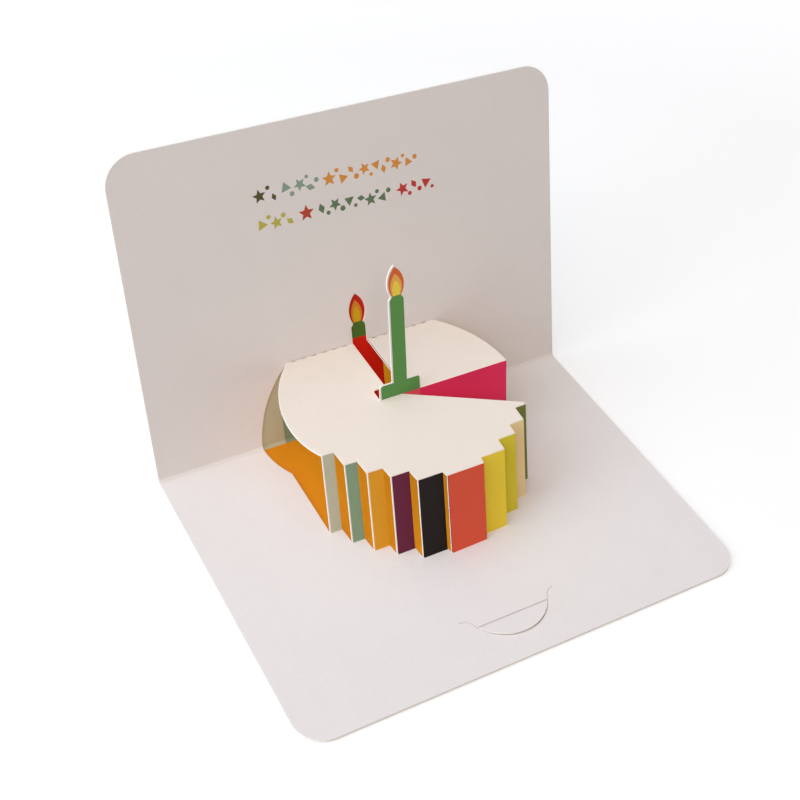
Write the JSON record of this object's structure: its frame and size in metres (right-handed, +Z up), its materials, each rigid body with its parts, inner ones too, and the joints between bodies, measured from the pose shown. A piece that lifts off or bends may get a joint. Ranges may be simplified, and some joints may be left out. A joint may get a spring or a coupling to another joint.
{
  "type": "pop up card",
  "caption": "Pop-up birthday card standing open, with a round cake of cut and folded wall strips, an open wedge and a standing candle.",
  "frame": {"origin": "middle of the base panel's underside", "axes": "+X along the crease, +Y from the base panel's front edge to the crease, +Z up"},
  "size_m": [0.15, 0.1386, 0.1034],
  "materials": {
    "printed_board": "matt coated board, printed",
    "cover_board": "matt coated board, printed in orange on its inner face"
  },
  "bodies": {
    "root": {"popup_sheet": "printed_board", "outer_cover": "cover_board"}
  },
  "joints": []
}
